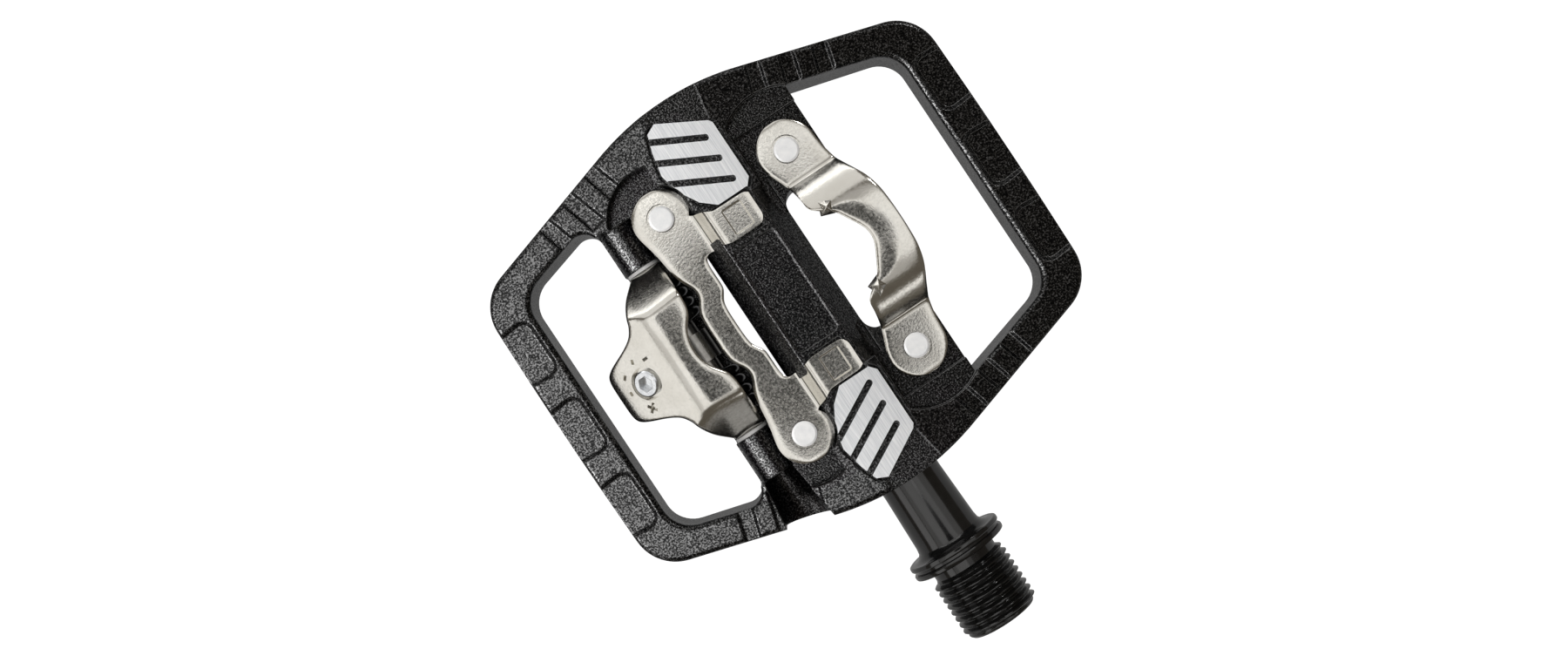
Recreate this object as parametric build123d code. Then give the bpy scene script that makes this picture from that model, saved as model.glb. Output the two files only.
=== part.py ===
from build123d import *
import math
import os

os.makedirs("parts", exist_ok=True)

# Clipless bicycle pedal, left-hand side, millimetres.
# The origin is the middle of the platform on the axle line.  +X points to the fixed front
# jaw, -Y runs along the axle to the crank, and +Z is the side that takes the shoe cleat.

# Platform outline
half_length = 45.4
half_width = 38.5
bar_bow = 0.4
shoulder_x = 13.0
shoulder_drop = 1.7
corner_drop = 11.0
corner_radius = 8.0
rail_width = 5.4
bar_width = 7.05
window_corner_radius = 5.5

# Platform thickness: a flat plateau over the axle, sloping down to both end bars
plateau_half_x = 4.8
plateau_z = 8.5
bar_z = 5.3
edge_round = 0.9

# Windows
rear_window_x = -22.0
rear_window_corner_radius = 3.0
front_window_x = 19.4
front_gap_half_y = 14.2
slot_x = -12.0
slot_half_y = 16.0

# Barrel, the tube of the platform that the axle runs through
barrel_half_x = 8.1
barrel_flat_half_x = 4.6
barrel_side_z = 3.0
barrel_z = 8.3
barrel_half_y = 17.5
panel_half_x = 4.1
panel_half_y = 10.3
panel_depth = 0.6

# Machined grip pads, one over each end of the barrel, on both faces
pad_z = 9.2
pad_moat = 0.5
pad_moat_depth = 0.9
pad_slot_width = 1.15
pad_slot_depth = 0.9
pad_slot_length = 11.0
pad_slot_angle = -28.0
pad_slot_pitch = 4.15
pad_slot_end_x = 3.06
pad_slot_first_drop = 9.4

# Shallow recesses in the rails and end bars
groove_width = 3.0
groove_depth = 0.6
groove_pitch = 5.75
groove_first_x = 16.0
pocket_width = 10.3
pocket_pitch = 15.5
pocket_wall = 5.5
pocket_depth = 0.7
pocket_corner_radius = 1.8
recess_draft = 42.0

# Pressed steel jaws: the cleat plate, the front hook and the release claw
sheet = 2.0
seat_z = 3.5
seat_margin = 0.4
plate_rivet_x = -10.9
plate_rivet_y = 22.1
plate_ear_radius = 5.2
plate_recess_radius = 9.2
plate_left_x = -15.2
plate_waist_x = -12.8
plate_right_x = -8.5
plate_middle_x = -10.1
tab_z = 7.0
tab_rear_x = -3.8
tab_front_x = 4.1
tab_inner_y = 11.7
tab_outer_y = 18.0
hook_rivet_x = 13.5
hook_rivet_y = 20.1
hook_ear_radius = 5.4
hook_recess_radius = 11.0
hook_ledge_y = 26.5
hook_ledge_z = 5.6
hook_arch_z = 8.8
hook_bend_y = 14.4
hook_arch_y = 9.1
hook_front_x = 23.2
hook_mouth_x = 17.2
rivet_radius = 1.7
rivet_head_radius = 2.2
rivet_head_height = 0.35
rivet_tail_radius = 3.0
rivet_tail_depth = 1.2

# Release claw, its pivot and its springs
pin_x = -18.5
pin_z = -0.3
pin_radius = 2.2
pin_clearance = 0.06
boss_radius = 3.3
boss_inner_y = 17.4
boss_outer_y = 25.5
claw_half_y = 16.6
claw_flat_half_y = 9.5
claw_shoulder_z = 3.2
claw_crest_x = -22.4
claw_crest_z = 10.5
claw_lip_x = -15.3
claw_lip_z = 9.9
claw_ear_radius = 3.1
claw_ear_front_x = -15.9
tab_angle = 32.0
claw_tab_end_x = -34.1
trough_floor_top = -5.2
trough_floor_bottom = -7.5
spring_wire_radius = 0.92
spring_radius = 3.58
spring_pitch = 2.0
spring_turns = 3.35
spring_inner_y = 5.45
spring_leg = 9.0
spring_foot = 4.4
spacer_half_y = 2.7
washer_thickness = 0.6

# Tension screw and the nut plate that it moves
screw_x = -28.4
screw_radius = 1.95
screw_clearance = 0.06
screw_head_radius = 2.35
screw_head_height = 1.3
screw_length = 7.5
screw_hex = 2.5
screw_recess_radius = 3.0
screw_recess_depth = 0.7
clip_radius = 3.0
clip_thickness = 0.5
clip_gap = 0.25
nut_plate_drop = 6.7
nut_plate_thickness = 2.2
nut_plate_half_y = 6.5
nut_plate_inner = 1.36
nut_plate_outer = 2.64

# Axle
axle_end_drop = 7.5
lock_thread_radius = 3.0
axle_core_radius = 4.2
needle_seat_radius = 5.0
seal_seat_radius = 5.65
axle_root_radius = 5.95
axle_root_drop = 11.5
flange_radius = 8.9
flange_drop = 13.7
flange_thickness = 2.6
flange_groove_depth = 0.7
flange_groove_width = 0.7
neck_radius = 6.05
neck_length = 2.2
crank_thread_radius = 7.14
crank_thread_length = 11.3
crank_thread_chamfer = 1.0
crank_hex = 8.0
crank_hex_depth = 9.0

# Bearings and seals
bore_radius = 5.6
seal_radius = 7.0
seal_length = 2.2
seal_lip_clearance = 0.08
needle_cup_length = 10.0
needle_radius = 0.55
needle_count = 14
needle_clearance = 0.05
race_radius = 6.5
race_length = 5.0
inner_race_radius = 4.1
outer_race_bore = 5.4
ball_radius = 0.95
ball_count = 8
ball_clearance = 0.05
shield_thickness = 0.3
shield_gap = 0.12
bearing_drop = 22.0
cap_radius = 6.8
cap_wall = 1.2
cap_drop = 0.8
cap_floor = 2.4
cap_hex = 6.0
cap_hex_depth = 1.6
o_ring_radius = 0.6
lock_washer_thickness = 0.8
lock_washer_radius = 5.0
lock_nut_flats = 8.8
lock_nut_height = 3.0

# Sizes worked out from the ones above
shoulder_y = half_width - shoulder_drop
axle_end_y = half_width - axle_end_drop
corner_x = half_length - bar_bow
corner_y = half_width - corner_drop
rail_slope = (shoulder_y - corner_y) / (corner_x - shoulder_x)
rail_angle = math.degrees(math.atan(rail_slope))
rail_band = rail_width / math.cos(math.radians(rail_angle))
bar_inner_x = half_length - bar_width
face_slope = (plateau_z - bar_z) / (half_length - plateau_half_x)
ball_pitch_radius = (inner_race_radius + outer_race_bore) / 2
needle_pitch_radius = needle_seat_radius + needle_clearance + needle_radius
needle_cup_bore = needle_pitch_radius + needle_radius + needle_clearance
seal_mouth_y = 0.2 - half_width
needle_cup_y = seal_mouth_y + seal_length + 0.2
inner_bearing_y = half_width - bearing_drop
outer_bearing_y = inner_bearing_y + race_length
cap_seat_y = outer_bearing_y + race_length
flange_y = -(half_width + flange_drop)
seat_y = flange_y - flange_thickness
thread_start_y = seat_y - neck_length
thread_end_y = thread_start_y - crank_thread_length
tab_run = (-math.cos(math.radians(tab_angle)), 0, -math.sin(math.radians(tab_angle)))
tab_up = (-math.sin(math.radians(tab_angle)), 0, math.cos(math.radians(tab_angle)))
screw_z = claw_crest_z - (claw_crest_x - screw_x) * math.tan(math.radians(tab_angle))
screw_plane = Plane(origin=(screw_x, 0, screw_z), x_dir=tab_run, z_dir=tab_up)
tall = 40.0


def polygon(points):
    """Flat face in plan inside a closed line of points."""
    return make_face(Polyline(*points, close=True))


def upright(face, low, high):
    """Solid over a plan face between two heights."""
    return extrude(Pos(0, 0, low) * face, high - low)


def across(points, low, high):
    """Solid whose X-Z section is a polygon, from Y low to Y high."""
    section = make_face(Polyline(*[(x, low, z) for x, z in points], close=True))
    return extrude(section, high - low, dir=(0, 1, 0))


def along(points, low, high):
    """Solid whose Y-Z section is a polygon, from X low to X high."""
    section = make_face(Polyline(*[(low, y, z) for y, z in points], close=True))
    return extrude(section, high - low, dir=(1, 0, 0))


def block(x_low, x_high, y_low, y_high, z_low, z_high):
    """Box between six limits."""
    middle = Pos((x_low + x_high) / 2, (y_low + y_high) / 2, (z_low + z_high) / 2)
    return middle * Box(x_high - x_low, y_high - y_low, z_high - z_low)


def turned(points):
    """Solid of revolution about the Y axis from (radius, y) points."""
    return revolve(polygon(points), Axis.Y)


def sleeve(inner, outer, low, high):
    """Ring about the Y axis."""
    return turned([(inner, low), (outer, low), (outer, high), (inner, high)])


def on_pin(shape):
    """Move a shape made about the Y axis onto the claw pin."""
    return Pos(pin_x, 0, pin_z) * shape


def both_ends(shape):
    """The shape and its mirror image across the X-Z plane."""
    return shape + mirror(shape, Plane.XZ)


def both_faces(shape):
    """The shape and its mirror image across the X-Y plane."""
    return shape + mirror(shape, Plane.XY)


def four_ways(shape):
    """The shape mirrored front to back and side to side."""
    return both_ends(shape + mirror(shape, Plane.YZ))


def rail_outer_y(x):
    """Outer edge of a rail at a distance x from the axle."""
    return shoulder_y - rail_slope * (abs(x) - shoulder_x)


def rail_inner_y(x):
    """Inner edge of a rail at a distance x from the axle."""
    return rail_outer_y(x) - rail_band


def above_face(depth):
    """Everything higher than a surface that lies this far under the sloping top face."""
    low = plateau_z - depth
    end_x = half_length + 5
    end_z = low - face_slope * (end_x - plateau_half_x)
    section = [(-end_x, tall), (-end_x, end_z), (-plateau_half_x, low)]
    section += [(plateau_half_x, low), (end_x, end_z), (end_x, tall)]
    return across(section, -half_width - 5, half_width + 5)


def platform_outline():
    """Plan of the platform: bowed sides, straight rails, bowed end bars, round corners."""
    top = ThreePointArc((-shoulder_x, shoulder_y), (0, half_width), (shoulder_x, shoulder_y))
    right = ThreePointArc((corner_x, corner_y), (half_length, 0), (corner_x, -corner_y))
    bottom = mirror(top, Plane.XZ)
    left = mirror(right, Plane.YZ)
    rails = [Line((sx * shoulder_x, sy * shoulder_y), (sx * corner_x, sy * corner_y))
             for sx in (-1, 1) for sy in (-1, 1)]
    face = make_face([top, right, bottom, left] + rails)
    corners = [v for v in face.vertices() if abs(v.X) > shoulder_x + 1]
    return fillet(corners, corner_radius)


def rear_window():
    """Opening between the rear end bar and the claw."""
    outer = (-bar_inner_x, rail_inner_y(bar_inner_x))
    inner = (rear_window_x, rail_inner_y(rear_window_x))
    face = polygon([outer, inner, (inner[0], -inner[1]), (outer[0], -outer[1])])
    face = fillet(face.vertices().group_by(Axis.X)[0], window_corner_radius)
    return fillet(face.vertices().group_by(Axis.X)[-1], rear_window_corner_radius)


def front_window():
    """Opening between the front end bar and the hook's two webs."""
    outer = (bar_inner_x, rail_inner_y(bar_inner_x))
    inner = (front_window_x, rail_inner_y(front_window_x))
    gap = (front_window_x, front_gap_half_y)
    throat = (barrel_half_x, front_gap_half_y)
    upper = [throat, gap, inner, outer]
    face = polygon(upper + [(x, -y) for x, y in reversed(upper)])
    corners = face.vertices().group_by(Axis.X)
    face = fillet(corners[-1], window_corner_radius)
    return fillet(face.vertices().group_by(Axis.X)[0], rear_window_corner_radius)


def centre_slot():
    """Long opening between the cleat plate and the barrel."""
    width = -barrel_half_x - slot_x
    middle = Pos((slot_x - barrel_half_x) / 2, 0) * Rectangle(width, 2 * slot_half_y)
    return fillet(middle.vertices(), width * 0.42)


def platform_frame():
    """Sloping frame with its windows and rounded edges, before any detail."""
    section = [(-half_length - 1, bar_z), (-plateau_half_x, plateau_z)]
    section += [(plateau_half_x, plateau_z), (half_length + 1, bar_z)]
    section += [(x, -z) for x, z in reversed(section)]
    frame = across(section, -half_width - 5, half_width + 5)
    frame &= upright(platform_outline(), -tall, tall)
    frame -= upright(rear_window(), -tall, tall)
    frame -= upright(front_window(), -tall, tall)
    rims = [e for e in frame.edges() if e.geom_type != GeomType.LINE
            or abs(e.tangent_at(0.5).Z) < 0.3 and abs(abs(e.center().X) - plateau_half_x) > 0.5
            or abs(e.center().Y) > half_width - 3]
    rims = [e for e in rims if abs(e.tangent_at(0.5).Z) < 0.3]
    return fillet(rims, edge_round)


def barrel_cut():
    """Material outside the eight-sided barrel, between its two ends."""
    section = [(-barrel_flat_half_x, barrel_z), (barrel_flat_half_x, barrel_z)]
    section += [(barrel_half_x, barrel_side_z), (barrel_half_x, -barrel_side_z)]
    section += [(barrel_flat_half_x, -barrel_z), (-barrel_flat_half_x, -barrel_z)]
    section += [(-barrel_half_x, -barrel_side_z), (-barrel_half_x, barrel_side_z)]
    hull = block(-barrel_half_x, barrel_half_x, -barrel_half_y, barrel_half_y, -tall, tall)
    return hull - across(section, -barrel_half_y, barrel_half_y)


def barrel_panel():
    """Sunk panel in the top of the barrel."""
    face = Rectangle(2 * panel_half_x, 2 * panel_half_y)
    face = fillet(face.vertices(), 1.0)
    return upright(face, barrel_z - panel_depth, tall)


def pad_outline():
    """Plan of the outboard grip pad."""
    drops = [(-3.0, 2.7), (5.0, 7.2), (5.5, 7.9), (5.5, 18.9), (4.2, 20.4), (-1.1, 20.4)]
    drops += [(-3.9, 18.0), (-5.95, 14.5), (-6.8, 10.8), (-5.95, 6.7), (-4.9, 3.6)]
    return polygon([(x, half_width - drop) for x, drop in drops])


def pad_slots():
    """Three slanting grip slots that run out of the rear side of a pad."""
    cuts = None
    for step in range(3):
        end_y = half_width - pad_slot_first_drop - step * pad_slot_pitch
        bar = Pos(-pad_slot_length / 2, 0) * Rectangle(pad_slot_length, pad_slot_width)
        slot = Pos(pad_slot_end_x, end_y) * Rot(0, 0, pad_slot_angle) * (
            bar + Circle(pad_slot_width / 2))
        cut = upright(slot, pad_z - pad_slot_depth, tall)
        cuts = cut if cuts is None else cuts + cut
    return cuts


def pad_recess():
    """Lower step from a pad's outer side to the edge of the platform, and its moat."""
    outer = polygon([(-3.6, half_width - 2.2), (5.4, half_width - 6.8),
                     (7.0, half_width + 2), (-3.6, half_width + 2)])
    ring = offset(pad_outline(), pad_moat)
    return upright(ring + outer, plateau_z - pad_moat_depth, tall)


def drafted(face, floor, depth):
    """Recess with sloping walls, from a face at its floor up past the surface."""
    low = floor - 0.1
    return extrude(Pos(0, 0, low) * face, depth + 1.5, taper=-recess_draft)


def rail_grooves():
    """Three shallow bands across the front outboard rail."""
    bands = None
    run = groove_depth * math.tan(math.radians(recess_draft))
    for step in range(3):
        x = groove_first_x + step * groove_pitch
        middle_y = rail_outer_y(x) - rail_band / 2
        floor = plateau_z - (x - plateau_half_x) * face_slope - groove_depth
        band = Rectangle(groove_width - 2 * run, rail_width + 3)
        band = Pos(x, middle_y) * Rot(0, 0, -rail_angle) * band
        band = drafted(band, floor, groove_depth)
        bands = band if bands is None else bands + band
    return bands


def bar_pockets():
    """Three shallow pockets, open outwards, in the front end bar."""
    pockets = None
    run = pocket_depth * math.tan(math.radians(recess_draft))
    inner_x = half_length - pocket_wall + run
    for step in (-1, 0, 1):
        pocket = Rectangle(10, pocket_width - 2 * run)
        pocket = Pos(inner_x + 5, step * pocket_pitch) * pocket
        pocket = fillet(pocket.vertices().group_by(Axis.X)[0], pocket_corner_radius - run)
        pocket = drafted(pocket, bar_z - pocket_depth, pocket_depth)
        pockets = pocket if pockets is None else pockets + pocket
    return pockets


def surface_details():
    """All shallow recesses of the top face, to be cut on both faces."""
    grooves = four_ways(rail_grooves()) & above_face(groove_depth)
    bars = bar_pockets()
    pockets = (bars + mirror(bars, Plane.YZ)) & above_face(pocket_depth)
    return grooves + pockets


def plate_outline():
    """Plan of the cleat plate, without its rivet holes."""
    upper = [(plate_middle_x, 4.2), (plate_right_x, 6.3), (plate_right_x, 14.2)]
    upper += [(tab_rear_x - 1.0, 14.2), (tab_rear_x + 1.3, tab_inner_y)]
    upper += [(tab_front_x - 1.2, tab_inner_y), (tab_front_x, tab_outer_y)]
    upper += [(tab_rear_x, tab_outer_y), (plate_rivet_x + 4.6, 20.2)]
    upper += [(plate_rivet_x - plate_ear_radius + 0.2, plate_rivet_y)]
    upper += [(plate_left_x, 18.0), (plate_left_x + 0.7, 12.5), (plate_waist_x, 8.5)]
    upper += [(plate_left_x + 0.5, 4.0)]
    lower = [(x, -y) for x, y in reversed(upper)]
    face = polygon(upper + lower)
    for side in (-1, 1):
        face += Pos(plate_rivet_x, side * plate_rivet_y) * Circle(plate_ear_radius)
    return face


def under_plate(drop):
    """Region above the underside of the cleat plate, lowered by drop."""
    low = seat_z - drop
    high = tab_z - drop
    bend_low = plate_right_x + 1.0
    bend_high = tab_rear_x - 0.6
    section = [(-30, tall), (-30, low), (bend_low, low), (bend_high, high)]
    section += [(20, high), (20, tall)]
    return across(section, -half_width, half_width)


def cleat_plate():
    """Pressed plate that the cleat rests on, with two raised tabs over the barrel."""
    plate = upright(plate_outline(), -tall, tall)
    plate &= under_plate(0) - Pos(0, 0, sheet) * under_plate(0)
    for side in (-1, 1):
        plate -= Pos(plate_rivet_x, side * plate_rivet_y, seat_z) * Cylinder(rivet_radius, 10)
        dimple = Pos(0.4, side * 14.5) * Rectangle(4.6, 4.6)
        plate -= upright(dimple, tab_z + sheet - 0.5, tall)
    return plate


def hook_outline():
    """Plan of the front hook, without its rivet holes."""
    outer = [(hook_front_x, 0), (hook_front_x - 0.1, 4.6), (22.4, 8.3), (21.3, 11.2)]
    outer += [(20.5, 12.4), (19.3, 15.5), (hook_rivet_x + hook_ear_radius, hook_rivet_y)]
    inner = [(hook_mouth_x, 0), (16.4, 2.6), (14.9, 5.0), (14.0, 6.0), (14.9, 7.2)]
    inner += [(13.2, 6.4), (10.7, 8.7), (10.4, 12.6), (9.9, 15.4)]
    inner += [(hook_rivet_x - hook_ear_radius, hook_rivet_y)]
    half = outer + list(reversed(inner))
    face = polygon(half)
    face += Pos(hook_rivet_x, hook_rivet_y) * Circle(hook_ear_radius)
    return face + mirror(face, Plane.XZ)


def over_hook(drop):
    """Region above the underside of the hook, lowered by drop."""
    low = seat_z - drop
    high = hook_arch_z - drop
    upper = [(0, tall), (half_width, tall), (half_width, low), (hook_bend_y, low)]
    upper += [(hook_arch_y, high), (0, high)]
    region = along(upper, 0, half_length)
    return region + mirror(region, Plane.XZ)


def front_hook():
    """Fixed front jaw: one pressed strip arched between its two rivets."""
    hook = upright(hook_outline(), -tall, tall)
    hook &= over_hook(0) - Pos(0, 0, sheet) * over_hook(0)
    for side in (-1, 1):
        hook -= Pos(hook_rivet_x, side * hook_rivet_y, seat_z) * Cylinder(rivet_radius, 10)
    return hook


def jaw_seats():
    """Pockets that the cleat plate's and hook's ears lie in."""
    rear = Pos(plate_rivet_x, plate_rivet_y) * Circle(plate_recess_radius)
    rear = upright(rear, seat_z, tall) & block(-half_length, -barrel_half_x, 0, tall, 0, tall)
    front = Pos(hook_rivet_x, hook_rivet_y) * Circle(hook_recess_radius)
    front &= Pos(barrel_half_x - 1.6 + 20, 20) * Rectangle(40, 40)
    ledge = upright(front, hook_ledge_z, tall)
    seat = upright(front, seat_z, tall) & block(0, half_length, 0, hook_ledge_y, 0, tall)
    pockets = both_ends(rear + ledge + seat)
    plate_room = upright(offset(plate_outline(), seat_margin), -tall, tall) & under_plate(0)
    return pockets + plate_room


def rivet_holes(x, y):
    """Holes through the web for one pair of rivets, with a sunk seat for their tails."""
    low = -plateau_z + face_slope * (abs(x) - plateau_half_x)
    hole = Pos(x, y, 0) * Cylinder(rivet_radius, 2 * tall)
    tail = block(x - 6, x + 6, y - 6, y + 6, -tall, low + rivet_tail_depth + 0.5)
    tail &= Pos(x, y, 0) * Cylinder(rivet_tail_radius, 2 * tall)
    return both_ends(hole + tail)


def rivets(x, y):
    """One pair of rivets: low head on the jaw, shank through the web, formed tail."""
    top = seat_z + sheet
    low = -plateau_z + face_slope * (abs(x) - plateau_half_x)
    seat = low + rivet_tail_depth + 0.5
    profile = [(0, low + 0.5), (rivet_tail_radius - 0.5, low + 0.5)]
    profile += [(rivet_tail_radius - 0.1, seat - 0.3), (rivet_tail_radius - 0.1, seat)]
    profile += [(rivet_radius, seat), (rivet_radius, top), (rivet_head_radius, top)]
    profile += [(rivet_head_radius, top + rivet_head_height * 0.5)]
    profile += [(rivet_head_radius - 0.35, top + rivet_head_height), (0, top + rivet_head_height)]
    face = make_face(Polyline(*[(r, 0, z) for r, z in profile], close=True))
    return both_ends(Pos(x, y, 0) * revolve(face, Axis.Z))


def pivot_room():
    """Space for the claw, its springs and its pin between and beside the two bosses."""
    room = block(-half_length + bar_width, slot_x, -boss_inner_y, boss_inner_y,
                 trough_floor_top, tall)
    under = block(-half_length + bar_width, slot_x, -boss_inner_y, boss_inner_y,
                  -tall, trough_floor_bottom)
    behind = block(-half_length + bar_width, rear_window_x, -boss_inner_y, boss_inner_y,
                   -tall, tall)
    beside = block(rear_window_x - 1, claw_ear_front_x + 0.5, boss_inner_y, boss_outer_y,
                   pin_z, tall)
    return room + under + behind + both_ends(beside)


def pin_channel():
    """Open-topped tapered channel in the crank-side rail that lets the pin slide in."""
    top_y = -boss_outer_y
    end_y = -half_width - 1
    narrow = pin_radius + 0.65
    wide = pin_radius + 2.4
    cone = turned([(0, top_y), (narrow, top_y), (wide, end_y), (0, end_y)])
    cone = Pos(pin_x, 0, pin_z) * cone
    plan = polygon([(pin_x - narrow, top_y), (pin_x + narrow, top_y),
                    (pin_x + wide, end_y), (pin_x - wide, end_y)])
    return cone + upright(plan, pin_z, tall)


def platform_body():
    """Forged and machined platform with the barrel, jaw seats and pivot bosses."""
    body = platform_frame()
    body -= upright(centre_slot(), -tall, tall)
    body -= pivot_room()
    body += both_ends(on_pin(sleeve(0, boss_radius, boss_inner_y, boss_outer_y + 1)))
    body -= barrel_cut()
    details = surface_details()
    body -= details
    body -= mirror(details, Plane.XY)
    recess = both_ends(pad_recess())
    body -= recess
    body -= mirror(recess, Plane.XY)
    pad = upright(pad_outline(), 0, pad_z) - pad_slots()
    body += both_faces(both_ends(pad))
    body -= barrel_panel()
    body -= jaw_seats()
    body -= upright(offset(hook_outline(), seat_margin), -tall, tall) & over_hook(0)
    body -= rivet_holes(plate_rivet_x, plate_rivet_y)
    body -= rivet_holes(hook_rivet_x, hook_rivet_y)
    body -= pin_channel()
    body -= on_pin(sleeve(0, pin_radius, -boss_outer_y - 1, boss_outer_y - 1))
    body -= sleeve(0, seal_radius, -half_width - 1, needle_cup_y + needle_cup_length)
    body -= sleeve(0, bore_radius, -half_width - 1, inner_bearing_y)
    body -= sleeve(0, race_radius, inner_bearing_y, cap_seat_y)
    body -= sleeve(0, cap_radius, cap_seat_y, half_width + 1)
    return body


def claw_region(drop):
    """Everything under the claw's pressed skin, sunk by drop."""
    slope = math.tan(math.radians(tab_angle))
    end_x = claw_crest_x - 20
    top = claw_crest_z - drop
    shift = drop * math.tan(math.radians(tab_angle / 2))
    side = [(0, -tall), (0, claw_lip_z - drop), (claw_lip_x, claw_lip_z - drop)]
    side += [(claw_crest_x + shift, top), (end_x, top - slope * (claw_crest_x + shift - end_x))]
    side += [(end_x, -tall)]
    wall = claw_half_y - drop
    flat = claw_flat_half_y - drop * 0.4
    front = [(-wall, -tall), (-wall, claw_shoulder_z - drop * 0.4), (-flat, top)]
    front += [(flat, top), (wall, claw_shoulder_z - drop * 0.4), (wall, -tall)]
    return across(side, -claw_half_y - 5, claw_half_y + 5) & along(front, -tall, 0)


def claw_outline():
    """Plan of the claw: hooked front edge, narrow rear tab."""
    front = claw_lip_x
    upper = [(-18.4, 0), (-17.6, 3.4), (front - 0.5, 6.2), (front, 8.0), (front, 15.2)]
    upper += [(claw_ear_front_x, claw_half_y), (-21.3, claw_half_y), (-23.8, 13.8)]
    upper += [(-25.2, 11.4), (-25.7, 9.6), (-26.6, 8.0), (-28.6, 6.9), (-31.2, 6.0)]
    upper += [(-33.6, 5.0), (claw_tab_end_x, 4.2), (claw_tab_end_x, 0)]
    face = polygon(upper)
    return face + mirror(face, Plane.XZ)


def claw_ears():
    """Two ears that drop from the claw's sides round the pin."""
    ear = on_pin(sleeve(0, claw_ear_radius, claw_half_y - sheet, claw_half_y))
    neck = [(-21.2, 4.6), (claw_ear_front_x, 4.6), (claw_ear_front_x, pin_z)]
    neck += [(pin_x - claw_ear_radius, pin_z)]
    ear += across(neck, claw_half_y - sheet, claw_half_y)
    return both_ends(ear)


def release_claw():
    """Sprung rear jaw with its tension-screw tab."""
    skin = claw_region(0) - claw_region(sheet)
    skin &= upright(claw_outline(), -tall, tall)
    low = block(-half_length, 0, -claw_half_y, claw_half_y, -tall, 2.6)
    tab_floor = block(-half_length, -23.9, -claw_half_y, claw_half_y, -tall, tall)
    skin -= low - tab_floor
    claw = skin + claw_ears()
    claw -= on_pin(sleeve(0, pin_radius + pin_clearance, -claw_half_y - 1, claw_half_y + 1))
    claw -= screw_plane * Cylinder(screw_radius + screw_clearance, 20)
    seat = Pos(0, 0, -screw_recess_depth) * Cylinder(
        screw_recess_radius, 10, align=(Align.CENTER, Align.CENTER, Align.MIN))
    return claw - screw_plane * seat


def tension_screw():
    """Socket-head screw that sets the release tension, with its captive clip groove."""
    up = (Align.CENTER, Align.CENTER, Align.MIN)
    down = (Align.CENTER, Align.CENTER, Align.MAX)
    seat = -screw_recess_depth
    head = Pos(0, 0, seat + 0.05) * Cylinder(screw_head_radius, screw_head_height, align=up)
    head = chamfer(head.edges().group_by(Axis.Z)[-1], 0.25)
    shank = Pos(0, 0, seat + 0.05) * Cylinder(screw_radius, screw_length, align=down)
    shank = chamfer(shank.edges().group_by(Axis.Z)[0], 0.4)
    socket = extrude(Pos(0, 0, seat + 1.4) * RegularPolygon(screw_hex / 2, 6, False), -1.2)
    screw = head + shank - socket
    screw -= clip_ring(screw_radius - 0.35, screw_radius + 1)
    return screw_plane * screw


def clip_ring(inner, outer):
    """Ring just under the claw's tab, in the screw's own frame."""
    low = -sheet - clip_gap - clip_thickness
    ring = Cylinder(outer, clip_thickness, align=(Align.CENTER, Align.CENTER, Align.MIN))
    hole = Cylinder(inner, 4)
    return Pos(0, 0, low) * (ring - hole)


def screw_clip():
    """Split retaining clip that stops the tension screw coming out."""
    ring = clip_ring(screw_radius - 0.33, clip_radius)
    return screw_plane * (ring - Pos(3, 0, 0) * Box(6, 2.2, 20))


def nut_plate():
    """Threaded plate under the tab; the spring legs push up on it."""
    low = -nut_plate_drop
    length = nut_plate_inner + nut_plate_outer
    shift = (nut_plate_outer - nut_plate_inner) / 2
    plate = Pos(shift, 0, low) * Box(length, 2 * nut_plate_half_y, nut_plate_thickness,
                                     align=(Align.CENTER, Align.CENTER, Align.MIN))
    plate = fillet(plate.edges().filter_by(Axis.Z), 1.0)
    return screw_plane * (plate - Cylinder(screw_radius + screw_clearance, 30))


def torsion_spring():
    """Outboard torsion spring: turns round the pin, a long leg and a short foot."""
    turn_height = spring_turns * spring_pitch
    coil = Helix(spring_pitch, turn_height, spring_radius)
    start = coil @ 0
    profile = Plane(origin=start, z_dir=coil % 0) * Circle(spring_wire_radius)
    wire = sweep(profile, path=coil, is_frenet=True)
    leg_in = Plane(origin=start, z_dir=-(coil % 0))
    leg = leg_in * Cylinder(spring_wire_radius, spring_leg,
                            align=(Align.CENTER, Align.CENTER, Align.MIN))
    foot_out = Plane(origin=coil @ 1, z_dir=coil % 1)
    foot = foot_out * Cylinder(spring_wire_radius, spring_foot,
                               align=(Align.CENTER, Align.CENTER, Align.MIN))
    spring = wire + leg + foot
    turn = Plane(origin=(pin_x, spring_inner_y, pin_z), x_dir=tab_up, z_dir=(0, 1, 0))
    return turn * spring


def pivot_pin():
    """Steel pin through both bosses and the claw's ears."""
    pin = sleeve(0, pin_radius, -boss_outer_y, boss_outer_y - 1.2)
    return on_pin(chamfer(pin.edges().filter_by(GeomType.CIRCLE), 0.3))


def pin_washers():
    """Thin steel washers between the claw's ears and the bosses."""
    low = claw_half_y + (boss_inner_y - claw_half_y - washer_thickness) / 2
    return both_ends(on_pin(sleeve(pin_radius, boss_radius - 0.2, low, low + washer_thickness)))


def spring_spacer():
    """Steel bush that keeps the two springs apart."""
    return on_pin(sleeve(pin_radius, boss_radius, -spacer_half_y, spacer_half_y))


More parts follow.
